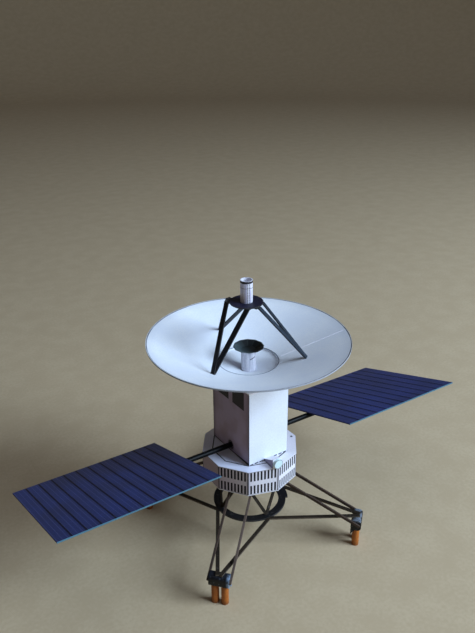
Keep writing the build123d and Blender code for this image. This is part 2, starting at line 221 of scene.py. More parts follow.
def wallCard():
    # printed card: thin dark lines at the ten folds and along both edges, and a soft haze beside each fold; a mauve
    # tint towards -X is painted shade for the side away from the key light
    look = {**card, "ground": ("F1EFF7", "E4E1EC"), "sides": 10, "fold": 0.32, "edge": 0.16, "lineMost": 0.9,
            "lineInk": "26242C", "haze": 1.3, "hazeMost": 0.32, "hazeInk": "8F8A98", "left": 0.35, "shadeTint": 0.8,
            "shadeTintInk": "A08CA0"}
    low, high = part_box("body_wall")
    middle = (low.z + high.z) / 2
    perTurn = look["sides"] / fullTurn
    perMm = perTurn / (high.y / mm)
    material, tree, place, ground = startPaper("wallCard", look)
    x, y, z = addNode(tree, "ShaderNodeSeparateXYZ", {0: place}).outputs
    turn = addNode(tree, "ShaderNodeMath", {0: y, 1: x}, operation="ARCTAN2")
    faces = addNode(tree, "ShaderNodeMath", {0: turn, 1: perTurn, 2: -0.5}, operation="MULTIPLY_ADD")
    apart = addNode(tree, "ShaderNodeMath", {0: faces, 1: 0.5}, operation="PINGPONG")
    haze = addNode(tree, "ShaderNodeMapRange", {0: apart, 1: 0.0, 2: look["haze"] * perMm, 3: look["hazeMost"],
                                                4: 0.0}, **softStep)
    fold = addNode(tree, "ShaderNodeMath", {0: apart, 1: look["fold"] * perMm}, operation="LESS_THAN")
    rise = addNode(tree, "ShaderNodeMath", {0: z, 1: middle}, operation="SUBTRACT")
    rise = addNode(tree, "ShaderNodeMath", {0: rise}, operation="ABSOLUTE")
    edge = addNode(tree, "ShaderNodeMath", {0: rise, 1: high.z - middle - look["edge"] * mm},
                   operation="GREATER_THAN")
    lines = addNode(tree, "ShaderNodeMath", {0: fold, 1: edge}, operation="MAXIMUM")
    lines = addNode(tree, "ShaderNodeMath", {0: lines, 1: look["lineMost"]}, operation="MULTIPLY")
    # painted shade: mauve towards -X, the side away from the key light
    shadeTint = addNode(tree, "ShaderNodeMapRange", {0: x, 1: -high.x * look["left"], 2: -high.x, 3: 0.0,
                                                4: look["shadeTint"]})
    return printOver(material, ground, ((shadeTint, look["shadeTintInk"]), (haze, look["hazeInk"]), (lines, look["lineInk"])))


def deckCard():
    # printed card with one small dark register dot, bluer towards -X as painted shade where the deck lies in shade
    look = {**card, "ground": ("F1F0F8", "E6E4EF"), "shadeBluer": (-2.0, -12.0), "shadeBlueInk": "DDE1F6",
            "dot": (17.2, -5.6), "dotRadius": 0.5, "dotInk": "1E2226"}
    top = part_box("body_deck")[1].z
    material, tree, place, ground = startPaper("deckCard", look)
    x = addNode(tree, "ShaderNodeSeparateXYZ", {0: place}).outputs[0]
    shadeBluer = addNode(tree, "ShaderNodeMapRange", {0: x, 1: look["shadeBluer"][0] * mm, 2: look["shadeBluer"][1] * mm},
                    **softStep)
    away = addNode(tree, "ShaderNodeVectorMath", {0: place, 1: (look["dot"][0] * mm, look["dot"][1] * mm, top)},
                   operation="DISTANCE")
    dot = addNode(tree, "ShaderNodeMath", {0: away, 1: look["dotRadius"] * mm}, operation="LESS_THAN")
    return printOver(material, ground, ((shadeBluer, look["shadeBlueInk"]), (dot, look["dotInk"])))


def dishCard():
    # cone of printed card with a thin outline at the rim, and the bare grey core at its cut edge
    look = {**card, "ground": ("F5F9FF", "EAF0FB"), "shade": 4.0, "shadeMost": 0.16, "shadeInk": "9A9CAA",
            "core": 0.03, "coreInk": "A4A9B6", "line": 0.34, "lineInset": 0.32, "lineInk": "2A2C36",
            "wear": (9.0, 2.0, 0.35, 0.6, 0.65, 0.95)}
    material, tree, place, ground = startPaper("dishCard", look)
    radius = fromAxis(tree, inDishFrame(tree, place))
    shade = addNode(tree, "ShaderNodeMapRange", {0: radius, 1: rimRadius - look["shade"] * mm, 2: rimRadius,
                                                 3: 0.0, 4: look["shadeMost"]}, **softStep)
    core = addNode(tree, "ShaderNodeMath", {0: radius, 1: rimRadius - look["core"] * mm}, operation="GREATER_THAN")
    line = addNode(tree, "ShaderNodeMath", {0: radius, 1: rimRadius - look["lineInset"] * mm,
                                            2: look["line"] / 2 * mm}, operation="COMPARE")
    line = addNode(tree, "ShaderNodeMath", {0: line, 1: patches(tree, place, look["wear"])}, operation="MULTIPLY")
    return printOver(material, ground, ((shade, look["shadeInk"]), (core, look["coreInk"]), (line, look["lineInk"])))


def canCard(name, node, own):
    # rolled printed card: lavender streaks along the roll, thin rings round its outside, given as (height over
    # the dish's rim, width, darkness), and a glued seam with a ticked line at each side; a stroke, given as
    # (height, half length, slope), takes the seam's place
    look = {**card, "ground": ("F1F0F8", "DDDBE6"), "skin": 0.15, "streak": (1.1, 2.0, 0.42, 0.62, 0.0, 0.5),
            "stretch": 0.1, "ringInk": "1C1B26", "seam": 0.33, "seamLine": 0.3, "tick": 0.5, "tickMix": (0.35, 0.95),
            "stroke": None, "strokeLine": 0.36, "seamInk": "26242E", **own}
    corners = [dishTurn.inverted() @ (co - rimCentre) for co in cornersOf(node)]
    axis = sum(corners, Vector()) / len(corners)
    outer = max((co - axis).xy.length for co in corners)
    material, tree, place, ground = startPaper(name, look)
    here = addNode(tree, "ShaderNodeVectorMath", {0: inDishFrame(tree, place), 1: (axis.x, axis.y, 0)},
                   operation="SUBTRACT")
    outside = addNode(tree, "ShaderNodeMath", {0: fromAxis(tree, here), 1: outer - look["skin"] * mm},
                      operation="GREATER_THAN")
    long = addNode(tree, "ShaderNodeMapping", {"Vector": here, "Scale": (1.0, 1.0, look["stretch"])})
    streak = addNode(tree, "ShaderNodeMath", {0: patches(tree, long, look["streak"], **softStep), 1: outside},
                     operation="MULTIPLY")
    layers = [(streak, look["streakInk"])]
    seamed = addNode(tree, "ShaderNodeMapping", {"Vector": here,
                                                 "Rotation": (0, 0, -math.radians(look["seamAngle"]))})
    x, y, z = addNode(tree, "ShaderNodeSeparateXYZ", {0: seamed}).outputs
    for height, width, dark in look["rings"]:
        ring = addNode(tree, "ShaderNodeMath", {0: z, 1: height * mm, 2: width / 2 * mm}, operation="COMPARE")
        for share in (outside, dark):
            ring = addNode(tree, "ShaderNodeMath", {0: ring, 1: share}, operation="MULTIPLY")
        layers.append((ring, look["ringInk"]))
    ahead = addNode(tree, "ShaderNodeMath", {0: x, 1: 0.0}, operation="GREATER_THAN")
    aside = addNode(tree, "ShaderNodeMath", {0: y}, operation="ABSOLUTE")
    if look["stroke"]:
        level, half, slope = look["stroke"]
        near = addNode(tree, "ShaderNodeMath", {0: aside, 1: half * mm}, operation="LESS_THAN")
        slant = addNode(tree, "ShaderNodeMath", {0: y, 1: -slope, 2: z}, operation="MULTIPLY_ADD")
        seam = addNode(tree, "ShaderNodeMath", {0: slant, 1: level * mm, 2: look["strokeLine"] / 2 * mm},
                       operation="COMPARE")
    else:
        ticks = addNode(tree, "ShaderNodeMath", {0: z, 1: look["tick"] * mm}, operation="PINGPONG")
        near = addNode(tree, "ShaderNodeMapRange", {0: ticks, 1: 0.0, 2: look["tick"] * mm, 3: look["tickMix"][0],
                                                    4: look["tickMix"][1]})
        seam = addNode(tree, "ShaderNodeMath", {0: aside, 1: look["seam"] * mm, 2: look["seamLine"] / 2 * mm},
                       operation="COMPARE")
    for share in (ahead, near):
        seam = addNode(tree, "ShaderNodeMath", {0: seam, 1: share}, operation="MULTIPLY")
    return printOver(material, ground, layers + [(seam, look["seamInk"])])


def darkCard(name, base, shade, roughness, scuffs=0.35):
    # card printed in one dark tone: toner gives it a low sheen, with paler scuffs where fibres show
    look = {"ground": (base, shade), "roughness": roughness, "specular": 0.3, "fibre": 0.7, "depth": 0.02,
            "scuff": (1.6, 4.0, 0.6, 0.78, 0.0, scuffs), "scuffInk": "6E6A68"}
    material, tree, place, ground = startPaper(name, look)
    return printOver(material, ground, ((patches(tree, place, look["scuff"]), look["scuffInk"]),))


def sensorSideShadeCard():
    # the sensor box's side, dull mauve as painted shade for the side away from the key light, with a black line where
    # it stands on the deck
    look = {**card, "ground": ("9A90A6", "857C92"), "foot": 0.4, "footInk": "1A181E"}
    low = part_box("sensor_body")[0]
    material, tree, place, ground = startPaper("sensorSideShadeCard", look)
    height = addNode(tree, "ShaderNodeSeparateXYZ", {0: place}).outputs[2]
    foot = addNode(tree, "ShaderNodeMath", {0: height, 1: low.z + look["foot"] * mm}, operation="LESS_THAN")
    return printOver(material, ground, ((foot, look["footInk"]),))


def drumCard():
    # the sensor's round end, pale cyan inside a grey outline on its front
    look = {**card, "roughness": 0.45, "ground": ("DDF4F4", "CDE6EA"), "outline": 0.22, "outlineInk": "8A909C",
            "skin": 0.1}
    low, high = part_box("sensor_drum")
    middle = (low + high) / 2
    material, tree, place, ground = startPaper("drumCard", look)
    x, y, z = addNode(tree, "ShaderNodeSeparateXYZ", {0: place}).outputs
    flat = addNode(tree, "ShaderNodeCombineXYZ", {0: x, 2: z})
    away = addNode(tree, "ShaderNodeVectorMath", {0: flat, 1: (middle.x, 0, middle.z)}, operation="DISTANCE")
    outline = addNode(tree, "ShaderNodeMath", {0: away, 1: (high.z - low.z) / 2 - look["outline"] * mm},
                      operation="GREATER_THAN")
    front = addNode(tree, "ShaderNodeMath", {0: y, 1: low.y + look["skin"] * mm}, operation="LESS_THAN")
    outline = addNode(tree, "ShaderNodeMath", {0: outline, 1: front}, operation="MULTIPLY")
    return printOver(material, ground, ((outline, look["outlineInk"]),))


def grilleCard():
    # louvres printed near-black, each lip paler as a painted highlight where it catches the light
    look = {"roughness": 0.5, "fibre": 0.6, "depth": 0.02, "ground": ("121118", "0C0B10"), "rows": 11, "lip": 0.35,
            "lipHighlightInk": "4A4654"}
    low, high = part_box("grille_left")
    pitch = (high.z - low.z) / look["rows"]
    material, tree, place, ground = startPaper("grilleCard", look)
    height = addNode(tree, "ShaderNodeSeparateXYZ", {0: place}).outputs[2]
    row = addNode(tree, "ShaderNodeMath", {0: height, 1: 1 / pitch, 2: -low.z / pitch}, operation="MULTIPLY_ADD")
    row = addNode(tree, "ShaderNodeMath", {0: row}, operation="FRACT")
    lip = addNode(tree, "ShaderNodeMath", {0: row, 1: look["lip"]}, operation="LESS_THAN")
    return printOver(material, ground, ((lip, look["lipHighlightInk"]),))


def funnelCard():
    # green-black card folded into twelve flats, with a painted highlight on the -X side, where the inner wall faces
    # the key light, and paler a little up the folds
    look = {"roughness": 0.5, "fibre": 0.6, "depth": 0.015, "ground": ("12191D", "0B1013"), "sides": 12,
            "keyLitSide": (1.5, -4.5), "keyLitSideMost": 0.85, "keyLitSideInk": "586A70", "streak": 0.16, "streakMost": 0.22,
            "streakInk": "4A5A52"}
    material, tree, place, ground = startPaper("funnelCard", look)
    x, y, z = addNode(tree, "ShaderNodeSeparateXYZ", {0: inDishFrame(tree, place)}).outputs
    turn = addNode(tree, "ShaderNodeMath", {0: y, 1: x}, operation="ARCTAN2")
    folds = addNode(tree, "ShaderNodeMath", {0: turn, 1: look["sides"] / fullTurn}, operation="MULTIPLY")
    apart = addNode(tree, "ShaderNodeMath", {0: folds, 1: 0.5}, operation="PINGPONG")
    keyLitSide = addNode(tree, "ShaderNodeMapRange", {0: x, 1: look["keyLitSide"][0] * mm, 2: look["keyLitSide"][1] * mm,
                                                  3: 0.0, 4: look["keyLitSideMost"]}, **softStep)
    streak = addNode(tree, "ShaderNodeMapRange", {0: apart, 1: 0.0, 2: look["streak"], 3: look["streakMost"],
                                                  4: 0.0}, **softStep)
    return printOver(material, ground, ((keyLitSide, look["keyLitSideInk"]), (streak, look["streakInk"])))


def podCard(name, own):
    # black card box whose rounded top is lighter as a painted sheen, and one end of a named pod pale as a painted
    # highlight
    look = {"roughness": 0.45, "specular": 0.3, "fibre": 0.6, "depth": 0.02, "ground": ("15161B", "0C0D11"),
            "topBand": 1.3, "lift": (1.8, 3.0, 0.35, 0.65, -0.9 * mm, 0.9 * mm), "highlightEnd": None,
            "endBand": (1.3, 0.3), "endMost": 0.9, "endSpots": (1.8, 3.0, 0.4, 0.55, 0.1, 1.0), "endHighlightInk": "8FA5C0",
            "flakeInk": "A9B4C2", **own}
    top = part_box("pod_front_right")[1].z
    material, tree, place, ground = startPaper(name, look)
    height = addNode(tree, "ShaderNodeSeparateXYZ", {0: place}).outputs[2]
    raised = addNode(tree, "ShaderNodeMath", {0: height, 1: patches(tree, place, look["lift"])}, operation="ADD")
    # painted sheen: the top lighter than the sides
    band = addNode(tree, "ShaderNodeMapRange", {0: raised, 1: top - look["topBand"] * mm, 2: top}, **softStep)
    layers = [(band, look["topSheenInk"])]
    # painted highlight: the end of the named pod that faces the key light
    if look["highlightEnd"]:
        corners = cornersOf(look["highlightEnd"])
        middle = sum(corners, Vector()) / len(corners)
        along = Vector((-middle.y, middle.x, 0)).normalized()
        reach = max(co.dot(along) for co in corners)
        past = addNode(tree, "ShaderNodeVectorMath", {0: place, 1: along}, operation="DOT_PRODUCT")
        past = addNode(tree, "ShaderNodeMapRange", {0: past, 1: reach - look["endBand"][0] * mm,
                                                    2: reach - look["endBand"][1] * mm, 3: 0.0,
                                                    4: look["endMost"]}, **softStep)
        past = addNode(tree, "ShaderNodeMath", {0: past, 1: patches(tree, place, look["endSpots"])},
                       operation="MULTIPLY")
        layers.append((past, look["endHighlightInk"]))
    layers.append((patches(tree, place, look["flake"]), look["flakeInk"]))
    return printOver(material, ground, layers)


def nozzlePaper():
    # rolled orange-brown paper: matt, streaked along the roll, darker towards the foot
    look = {"roughness": 0.62, "fibre": 0.5, "depth": 0.02, "ground": ("C47428", "A65C1A"), "stretch": 0.12,
            "streak": (0.45, 2.0, 0.4, 0.7, 0.0, 0.5), "streakInk": "8E4716", "darkerLow": 0.35, "darkerLowMost": 0.55,
            "darkerLowInk": "5A2D16"}
    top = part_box("nozzles_front_right")[1].z
    material, tree, place, ground = startPaper("nozzlePaper", look)
    along = addNode(tree, "ShaderNodeMapping", {"Vector": place, "Scale": (1.0, 1.0, look["stretch"])})
    height = addNode(tree, "ShaderNodeSeparateXYZ", {0: place}).outputs[2]
    darkerLow = addNode(tree, "ShaderNodeMapRange", {0: height, 1: 0.0, 2: top * look["darkerLow"], 3: look["darkerLowMost"],
                                                4: 0.0}, **softStep)
    streak = patches(tree, along, look["streak"])
    return printOver(material, ground, ((streak, look["streakInk"]), (darkerLow, look["darkerLowInk"])))


def boomPaper():
    # black paper rolled tight: toner rubbed smooth, so it takes long soft highlights
    look = {"roughness": 0.36, "specular": 0.1, "fibre": 0.6, "depth": 0.01, "ground": ("101215", "0A0B0D"),
            "stretch": 0.06, "streak": (0.6, 2.0, 0.5, 0.75, 0.0, 0.3), "streakInk": "32393C"}
    material, tree, place, ground = startPaper("boomPaper", look)
    along = addNode(tree, "ShaderNodeMapping", {"Vector": place, "Scale": (look["stretch"], 1.0, 1.0)})
    return printOver(material, ground, ((patches(tree, along, look["streak"]), look["streakInk"]),))


def cellPrint():
    # printed solar cells: deep navy, finer pale strings between the dark lines, faint tick grid;
    # a string or a row is (spacing, line width, strength)
    look = {"roughness": 0.42, "fibre": 0.7, "depth": 0.008, "ground": ("1A347C", "152A62"),
            "broad": (22.0, 2.0, 0.3, 0.7, 0.0, 0.5), "broadInk": "121F4C", "string": (1.66, 0.16, 0.30),
            "row": (1.1, 0.18, 0.16), "gridInk": "8490C8"}
    material, tree, place, ground = startPaper("cellPrint", look)
    level = addNode(tree, "ShaderNodeMapping", {"Vector": place, "Rotation": (panelTilt, 0, 0)})
    axes = addNode(tree, "ShaderNodeSeparateXYZ", {0: level}).outputs
    grid = []
    for axis, (spacing, width, strength) in ((axes[0], look["string"]), (axes[1], look["row"])):
        line = addNode(tree, "ShaderNodeMath", {0: axis, 1: spacing / 2 * mm}, operation="PINGPONG")
        line = addNode(tree, "ShaderNodeMath", {0: line, 1: width / 2 * mm}, operation="LESS_THAN")
        grid.append(addNode(tree, "ShaderNodeMath", {0: line, 1: strength}, operation="MULTIPLY"))
    grid = addNode(tree, "ShaderNodeMath", {0: grid[0], 1: grid[1]}, operation="MAXIMUM")
    broad = patches(tree, place, look["broad"])
    return printOver(material, ground, ((broad, look["broadInk"]), (grid, look["gridInk"])))


# knife-cut card edge: bare core, a little furry, so rougher than the printed face
bareCore = {"roughness": 0.75, "fibre": 0.5, "depth": 0.03}


def cutEdgeLitAndShaded():
    # the cut edge round the dish's centre: paler on the -X side, where it faces the key light, and darker on the +X
    # side, where it faces away: painted light and shade
    look = {**bareCore, "ground": ("8D93A5", "7B8296"), "ink": "2A2F3A", "shadedSide": (-6.0, 11.0)}
    material, tree, place, ground = startPaper("cutEdgeLitAndShaded", look)
    x = addNode(tree, "ShaderNodeSeparateXYZ", {0: place}).outputs[0]
    shadedSide = addNode(tree, "ShaderNodeMapRange", {0: x, 1: look["shadedSide"][0] * mm, 2: look["shadedSide"][1] * mm},
                    **softStep)
    return printOver(material, ground, ((shadedSide, look["ink"]),))


print("materials start")
# white laser-printed card: dry satin face, faint lavender toner haze, no shine at an angle
whiteLook = {**card, "ground": ("F4F3FB", "E7E5F0")}
darkLooks = {  # base, shade, roughness, and the strength of the scuffs where it isn't the usual one
    "slitInk": ("1B1A25", "12111A", 0.7, 0.0), "paleInk": ("3E464F", "2E343C", 0.7, 0.2),
    "blackCard": ("1A1A1E", "0F0F12", 0.55), "brownCard": ("31271D", "201911", 0.6),
    # the right tripod leg's card is a lighter, bluer copy of the black card: painted sheen from the key light
    "plateCard": ("23213A", "171627", 0.5), "legSheenCard": ("303A48", "222B35", 0.5),
    # one stay's card is a paler copy of the stay card: painted light on the side that faces the key
    "stayCard": ("4B3C33", "382B24", 0.6), "stayLitCard": ("65554D", "4E4138", 0.6),
    "navyBack": ("2A2E5C", "20234A", 0.5), "cellLineInk": ("101430", "0A0D22", 0.5),
}
edgeLooks = {  # base and shade
    "blackEdge": ("3C3B3D", "232224"), "brownEdge": ("665A4B", "3F362B"), "paleEdge": ("4C7686", "3D6678"),
    "navyEdge": ("23265A", "171A40"), "foldInk": ("2E3440", "1F242C"),
}
podLooks = {
    # the grey pod's lighter top is a painted sheen; the black pod's top has next to none, and one end of it carries a
    # painted highlight
    "sheenTopPod": {"topSheenInk": "6A727D", "flake": (1.1, 4.0, 0.6, 0.72, 0.0, 0.3)},
    "blackPod": {"topSheenInk": "191B23", "flake": (1.1, 4.0, 0.6, 0.72, 0.0, 0.18), "highlightEnd": "pod_front_left"},
}
feedCan = {"rings": [], "streakInk": "9EA2B4", "seamAngle": -91.0, "stroke": (-7.7, 1.15, 0.35)}
topCan = {"rings": [(23.5, 0.85, 1.0), (21.2, 0.24, 0.65), (15.6, 0.2, 0.3)], "streakInk": "8A80AE",
          "seamAngle": -105.0}
dark = {name: darkCard(name, *look) for name, look in darkLooks.items()}
edges = {name: plainPaper(name, {**bareCore, "ground": look}) for name, look in edgeLooks.items()}
pods = {name: podCard(name, look) for name, look in podLooks.items()}
whiteCard, grille, dish = plainPaper("laserPrintedCard", whiteLook), grilleCard(), dishCard()

whole = {
    "tower": towerCard(), "tower_lid": whiteCard, "body_deck": deckCard(), "body_floor": whiteCard,
    "grille_left": grille, "grille_right": grille, "sensor_drum": drumCard(), "dish": dish, "dish_centre": dish,
    "dish_collar": whiteCard, "feed_funnel": funnelCard(), "feed_can": canCard("feedCanCard", "feed_can", feedCan),
    "top_can": canCard("topCanCard", "top_can", topCan), "boom": boomPaper(),
}
for name in nodes:
    if name.startswith("pod_"):
        whole[name] = pods["blackPod" if name.endswith("left") else "sheenTopPod"]
for name, material in whole.items():
    nodes[name].data.materials.clear()
    nodes[name].data.materials.append(material)


def paintByFace(name, materials, choose):
    # one material slot per finish, chosen face by face; the mesh itself stays as it is
    mesh = nodes[name].data
    mesh.materials.clear()
    for material in materials:
        mesh.materials.append(material)
    for polygon in mesh.polygons:
        polygon.material_index = choose(polygon)


def facing(polygon):
    return tuple(round(abs(v), 1) for v in polygon.normal)


printedShare = 0.45  # least area of a strip's printed side, beside its largest


def broadFaces(name):
    # the ways that a strip's printed sides face, which hold most of its surface
    areas = {}
    for polygon in nodes[name].data.polygons:
        areas[facing(polygon)] = areas.get(facing(polygon), 0) + polygon.area
    return {key for key, area in areas.items() if area > printedShare * max(areas.values())}


def panelFace(polygon):
    # the cells on top, the back, the front edge and the other edges
    rise = polygon.normal.dot(panelUp)
    if abs(rise) > facingLimit["square"]:
        return 0 if rise > 0 else 1
    return 2 if polygon.normal.y < -facingLimit["rough"] else 3


slit = {"sides": 10, "depth": (0.04, 0.22), "margin": 0.3, "paleFace": -72}
wallLow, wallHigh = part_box("body_wall")
wallReach = max(co.x for co in cornersOf("body_wall"))


def wallFace(polygon):
    # slit floors and sides lie just inside the skin of the wall; the ink is paler on one face
    flat = Vector((polygon.center.x, polygon.center.y, 0))
    step = 360 // slit["sides"]
    face = round(math.degrees(math.atan2(flat.y, flat.x)) / step) * step
    out = Vector((math.cos(math.radians(face)), math.sin(math.radians(face)), 0))
    inset = wallReach - flat.dot(out)
    within = wallLow.z + slit["margin"] * mm < polygon.center.z < wallHigh.z - slit["margin"] * mm
    if not (within and slit["depth"][0] * mm < inset < slit["depth"][1] * mm):
        return 0
    return 2 if face == slit["paleFace"] else 1


# one stay's paler card is painted light, on the side that faces the key
# the right tripod leg's lighter card is a painted sheen
ownFace = {"tripod_plate": "plateCard", "tripod_leg_right": "legSheenCard", "stay_front_left_b": "stayLitCard"}
cells = cellPrint()
for name in nodes:
    if name.startswith(("tripod_", "ring", "brace_", "beam_", "stay_")):
        black = name.startswith(("tripod_", "ring"))
        usual = "blackCard" if black else "stayCard" if name.startswith("stay_") else "brownCard"
        printed = broadFaces(name)
        paintByFace(name, [dark[ownFace.get(name, usual)], edges["blackEdge" if black else "brownEdge"]],
                    lambda p: 0 if facing(p) in printed else 1)
    if name.startswith("panel_"):
        paintByFace(name, [cells, dark["navyBack"], edges["paleEdge"], edges["navyEdge"]], panelFace)
paintByFace("body_wall", [wallCard(), dark["slitInk"], dark["paleInk"]], wallFace)
paintByFace("sensor_body", [whiteCard, sensorSideShadeCard()],
            lambda p: 1 if abs(p.normal.x) > facingLimit["rough"] else 0)
print("materials on the frame done")


# Geometry Nodes

def startTree(name, sizes):
    # a tree with one named input for each size
    tree = bpy.data.node_groups.new(name, "GeometryNodeTree")
    tree.interface.new_socket("Geometry", in_out="INPUT", socket_type="NodeSocketGeometry")
    for label, value in sizes.items():
        kind = "NodeSocketInt" if isinstance(value, int) else "NodeSocketFloat"
        tree.interface.new_socket(label, in_out="INPUT", socket_type=kind).default_value = value
    tree.interface.new_socket("Geometry", in_out="OUTPUT", socket_type="NodeSocketGeometry")
    return tree, addNode(tree, "NodeGroupInput").outputs


def endTree(tree, geometry, material):
    real = addNode(tree, "GeometryNodeRealizeInstances", {0: geometry})
    painted = addNode(tree, "GeometryNodeSetMaterial", {"Geometry": real, "Material": material})
    addNode(tree, "NodeGroupOutput", {0: painted})
    return tree


def grow(name, tree, values, start=None):
    # runs a tree on a mesh with its inputs set, and gives the plain mesh
    holder = bpy.data.objects.new(name, start or bpy.data.meshes.new(name))
    bpy.context.scene.collection.objects.link(holder)
    modifier = holder.modifiers.new(name, "NODES")
    modifier.node_group = tree
    for item in tree.interface.items_tree:
        if item.in_out == "INPUT" and item.name in values:
            modifier[item.identifier] = values[item.name]
    depsgraph = bpy.context.evaluated_depsgraph_get()
    mesh = bpy.data.meshes.new_from_object(holder.evaluated_get(depsgraph), depsgraph=depsgraph)
    bpy.data.objects.remove(holder)  # the modifier goes with it
    return mesh


def placed(name, source, matrix, material, body):
    # a copy of a mesh, put in its place with its faces outwards, as one piece that rides a body
    mesh = source.copy()
    mesh.name = name
    mesh.transform(matrix)
    shape = bmesh.new()
    shape.from_mesh(mesh)
    bmesh.ops.recalc_face_normals(shape, faces=shape.faces)
    shape.to_mesh(mesh)
    shape.free()
    mesh.materials.clear()
    mesh.materials.append(material)
    piece = bpy.data.objects.new(name, mesh)
    bpy.context.scene.collection.objects.link(piece)
    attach(piece, body)
    return piece


def slabGrid(name, sizes, material):
    # a grid of thin slabs, each a little longer or shorter than the next by a seeded chance
    tree, given = startTree(name, sizes)
    spans = []
    for axis in "XY":
        span = addNode(tree, "ShaderNodeMath", {0: given[f"Pitch {axis}"], 1: given[f"Count {axis}"]},
                       operation="MULTIPLY")
        spans.append(addNode(tree, "ShaderNodeMath", {0: span, 1: given[f"Pitch {axis}"]}, operation="SUBTRACT"))
    grid = addNode(tree, "GeometryNodeMeshGrid", {"Size X": spans[0], "Size Y": spans[1],
                                                  "Vertices X": given["Count X"], "Vertices Y": given["Count Y"]})
    size = addNode(tree, "ShaderNodeCombineXYZ", {0: given["Slab X"], 1: given["Slab Y"], 2: given["Slab Z"]})
    slab = addNode(tree, "GeometryNodeMeshCube", {"Size": size})
    least = addNode(tree, "ShaderNodeMath", {0: 1.0, 1: given["Uneven"]}, operation="SUBTRACT")
    chance = addNode(tree, "FunctionNodeRandomValue", {2: least, 3: 1.0, "Seed": given["Seed"]}, data_type="FLOAT")
    stretch = addNode(tree, "ShaderNodeCombineXYZ", {0: chance, 1: chance, 2: 1.0})
    copies = addNode(tree, "GeometryNodeInstanceOnPoints", {"Points": grid, "Instance": slab, "Scale": stretch})
    return endTree(tree, copies, material)


def ringLine(name, sizes, material):
    # a thin line round a regular outline
    tree, given = startTree(name, sizes)
    outline = addNode(tree, "GeometryNodeMeshCircle", {"Vertices": given["Sides"], "Radius": given["Radius"]})
    curve = addNode(tree, "GeometryNodeMeshToCurve", {0: outline})
    profile = addNode(tree, "GeometryNodeCurvePrimitiveQuadrilateral", {"Width": given["Width"],
                                                                        "Height": given["Thick"]})
    line = addNode(tree, "GeometryNodeCurveToMesh", {0: curve, 1: profile})
    return endTree(tree, line, material)


# Panels: dark lines across the cells, laid just proud of the print
cellLines = {"Count X": 11, "Count Y": 1, "Pitch X": 4.99 * mm, "Pitch Y": 1.0 * mm, "Slab X": 0.62 * mm,
             "Slab Y": 56.0 * mm, "Slab Z": 0.03 * mm, "Uneven": 0.0, "Seed": 3}
cellLift = 0.012 * mm
lineTree = slabGrid("cellLines", cellLines, dark["cellLineInk"])
lineMesh = grow("cellLines", lineTree, cellLines)
for side in ("left", "right"):
    centre, normal = flatFace(f"panel_{side}", skyward)
    along = Vector((1, 0, 0))
    turned = Matrix((along, normal.cross(along), normal)).transposed().to_4x4()
    turned.translation = centre + normal * cellLift
    placed(f"cell_lines_{side}", lineMesh, turned, dark["cellLineInk"], "panel_pair")
print("cell lines done")

# Dish: the cut lip of the glued overlap, a low bevel that catches the key light
seamLip = {"angle": -22.3, "width": 0.25, "height": 0.14, "sink": 0.01, "from": 1.0, "to": 1.2, "steps": 16}
dishSkin = BVHTree.FromPolygons(cornersOf("dish"), [p.vertices for p in nodes["dish"].data.polygons])
overDish = 5 * mm  # a ray towards the cone starts this far up


def onDish(point):
    # the spot on the cone below a point, along the dish's axis
    return dishSkin.ray_cast(point + dishUp * overDish, -dishUp)[0]


outward = dishTurn @ (Matrix.Rotation(math.radians(seamLip["angle"]), 3, "Z") @ Vector((1, 0, 0)))
sideward = outward.cross(dishUp) * seamLip["width"] * mm
lipStart = innerRadius + seamLip["from"] * mm
lipEnd = rimRadius - seamLip["to"] * mm
lipPoints, lipFaces = [], []
for k in range(seamLip["steps"] + 1):
    reach = lipStart + (lipEnd - lipStart) * k / seamLip["steps"]
    for shift, lift in ((Vector(), 0.0), (Vector(), seamLip["height"]), (sideward, 0.0)):
        ground = onDish(rimCentre + outward * reach + shift)
        lipPoints.append(ground + dishUp * (lift - seamLip["sink"]) * mm)
    if k:
        was, now = 3 * k - 3, 3 * k
        lipFaces += [(was + a, was + b, now + b, now + a) for a, b in ((0, 1), (1, 2), (2, 0))]
last = len(lipPoints)
lipFaces += [(2, 1, 0), (last - 3, last - 2, last - 1)]
lipMesh = bpy.data.meshes.new("seamLip")
lipMesh.from_pydata(lipPoints, [], lipFaces)
placed("dish_seam_lip", lipMesh, asMade, whiteCard, "craft")
print("dish seam done")

# Tower foot: dashed fold line on the sensor's side
dashes = {"Count X": 8, "Count Y": 1, "Pitch X": 2.3 * mm, "Pitch Y": 1.0 * mm, "Slab X": 1.75 * mm,
          "Slab Y": 0.5 * mm, "Slab Z": 0.02 * mm, "Uneven": 0.15, "Seed": 7}
dashHeight, dashLift = 0.32 * mm, 0.006 * mm
foldInk = edges["foldInk"]
dashTree = slabGrid("foldDashes", dashes, foldInk)
towerLow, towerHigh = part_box("tower")
upright = Matrix.Rotation(math.radians(90), 4, "X")
upright.translation = Vector(((towerLow.x + towerHigh.x) / 2, towerLow.y - dashLift, towerLow.z + dashHeight))
placed("fold_dashes", grow("foldDashes", dashTree, dashes), upright, foldInk, "craft")

# Deck: a thin ten-sided line round the tower
deckLine = {"Sides": 10, "Radius": 15.7 * mm, "Width": 0.46 * mm, "Thick": 0.03 * mm}
deckTree = ringLine("deckLine", deckLine, foldInk)
onDeck = Matrix.Rotation(math.pi / deckLine["Sides"], 4, "Z")  # its corners point to those of the wall
onDeck.translation = Vector((0, 0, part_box("body_deck")[1].z))
placed("deck_line", grow("deckLine", deckTree, deckLine), onDeck, foldInk, "craft")

